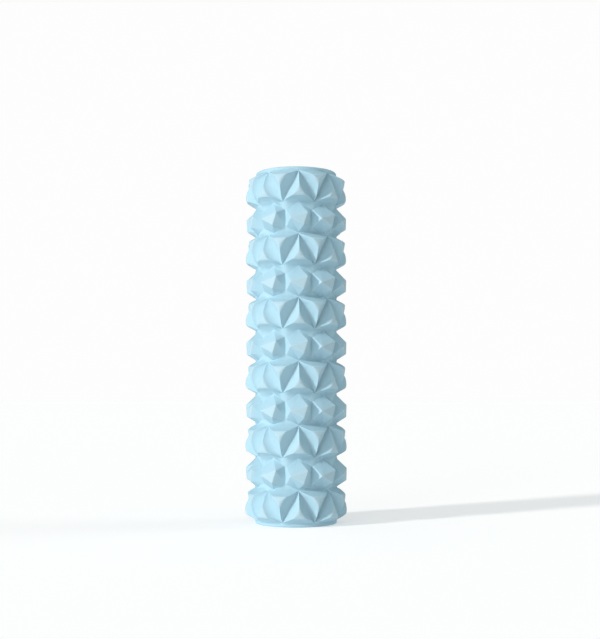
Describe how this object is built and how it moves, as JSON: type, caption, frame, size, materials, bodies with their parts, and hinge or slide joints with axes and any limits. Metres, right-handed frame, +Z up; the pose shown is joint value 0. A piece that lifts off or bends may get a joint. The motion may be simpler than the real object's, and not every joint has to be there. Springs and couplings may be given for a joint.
{
  "type": "foam roller",
  "caption": "Cylindrical massage roller: a foam sleeve with rows of faceted pads and knobs on a stiff hollow core tube with trim rings at its ends.",
  "frame": {"origin": "on the roller's axis, at the face it stands on", "axes": "+Z up along the roller's axis, -Y towards the viewer of the front, +X to that viewer's right"},
  "size_m": [0.1298, 0.1298, 0.45],
  "materials": {
    "foam": "matte closed-cell EVA foam, moulded",
    "core_plastic": "satin extruded ABS",
    "trim_plastic": "satin moulded ABS"
  },
  "bodies": {
    "root": {"foam_sleeve": "foam", "core_tube": "core_plastic", "end_ring_top": "trim_plastic", "end_ring_bottom": "trim_plastic"}
  },
  "joints": []
}
